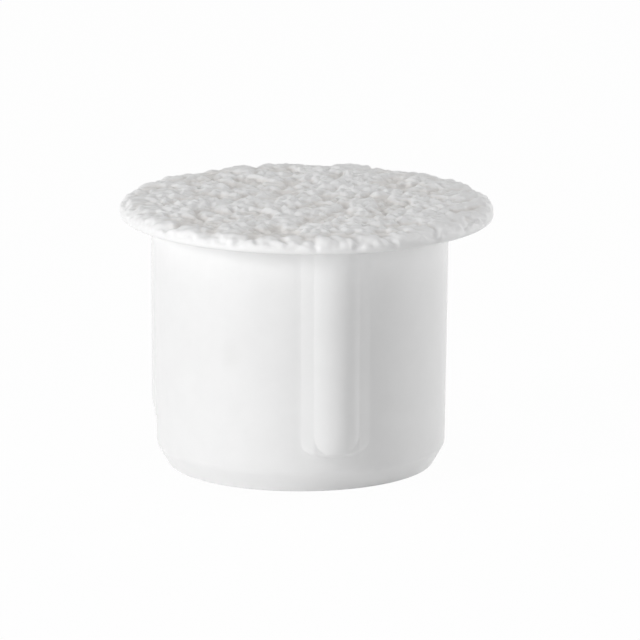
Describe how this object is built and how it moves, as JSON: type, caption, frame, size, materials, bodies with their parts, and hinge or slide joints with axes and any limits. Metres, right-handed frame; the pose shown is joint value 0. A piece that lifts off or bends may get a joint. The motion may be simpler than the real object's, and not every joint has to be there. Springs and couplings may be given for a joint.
{
  "type": "plug button",
  "caption": "White push-in plug with a pebbled disc head on a hollow, drafted shank with crush ribs, a lead-in chamfer and an open lower end.",
  "frame": {"origin": "on the shank's axis, in the plane of the open end's rim, which is the lowest plane of the part", "axes": "+Z along the shank's axis, from the open end to the pebbled head; -Y is the side that faced the camera; +X is to the camera's right, and the head stands 0.42 mm off the axis that way"},
  "size_m": [0.0318, 0.0318, 0.0231],
  "materials": {
    "white_plastic": "white moulded plastic, satin on the shank and matte on the pebbled face"
  },
  "bodies": {
    "root": {"plug_button": "white_plastic"}
  },
  "joints": []
}
